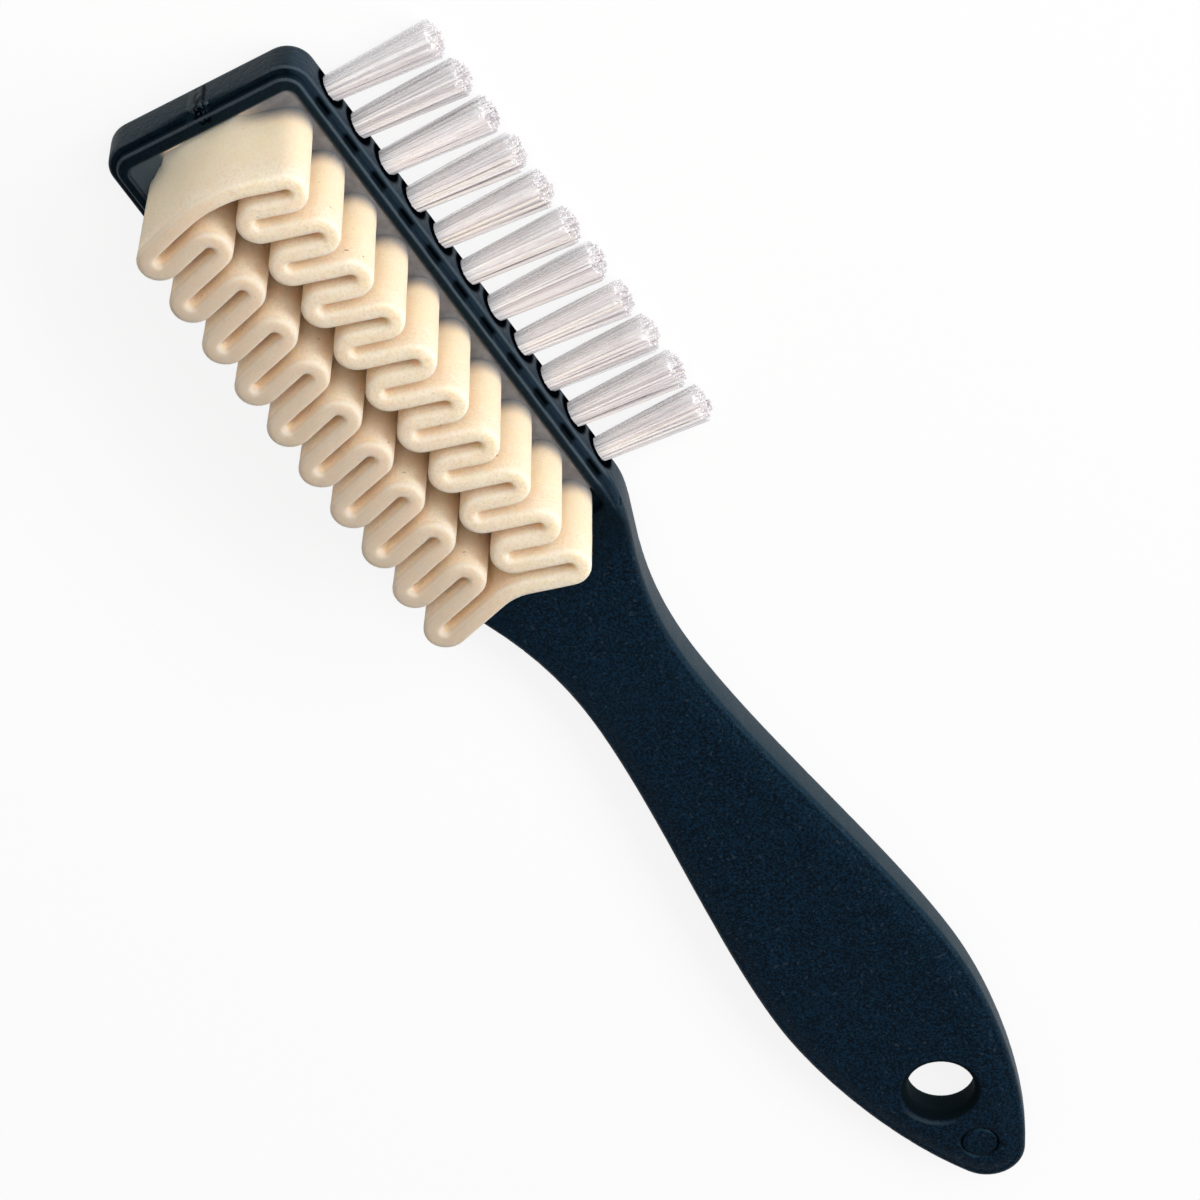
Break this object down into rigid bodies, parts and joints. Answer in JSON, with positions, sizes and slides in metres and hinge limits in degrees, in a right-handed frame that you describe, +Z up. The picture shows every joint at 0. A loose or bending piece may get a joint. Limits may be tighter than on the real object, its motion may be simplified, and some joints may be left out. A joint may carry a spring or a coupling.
{
  "type": "suede brush",
  "caption": "Hand brush for suede with a pleated crepe rubber insert glued in its head, a side row of nylon bristle tufts and a waisted paddle handle with a hang hole.",
  "frame": {"origin": "on the flat back, on the centre line, under the middle of the head's tray", "axes": "X from the head's tip to the handle's end, Y towards the bristle tufts, Z up out of the crepe face"},
  "size_m": [0.1665, 0.0372, 0.0182],
  "materials": {
    "handle_plastic": "fine-grained dark blue-black moulded plastic",
    "crepe_rubber": "cream crepe rubber, soft matt",
    "adhesive": "grey contact adhesive, dull satin",
    "nylon_bristle": "clear to white nylon filaments",
    "staple_wire": "flat drawn wire"
  },
  "bodies": {
    "root": {"handle_body": "handle_plastic", "crepe_insert": "crepe_rubber", "adhesive_bed": "adhesive", "bristle_tuft_01": "nylon_bristle", "bristle_tuft_02": "nylon_bristle", "bristle_tuft_03": "nylon_bristle", "bristle_tuft_04": "nylon_bristle", "bristle_tuft_05": "nylon_bristle", "bristle_tuft_06": "nylon_bristle", "bristle_tuft_07": "nylon_bristle", "bristle_tuft_08": "nylon_bristle", "bristle_tuft_09": "nylon_bristle", "bristle_tuft_10": "nylon_bristle", "bristle_tuft_11": "nylon_bristle", "tuft_staple_01": "staple_wire", "tuft_staple_02": "staple_wire", "tuft_staple_03": "staple_wire", "tuft_staple_04": "staple_wire", "tuft_staple_05": "staple_wire", "tuft_staple_06": "staple_wire", "tuft_staple_07": "staple_wire", "tuft_staple_08": "staple_wire", "tuft_staple_09": "staple_wire", "tuft_staple_10": "staple_wire", "tuft_staple_11": "staple_wire"}
  },
  "joints": []
}
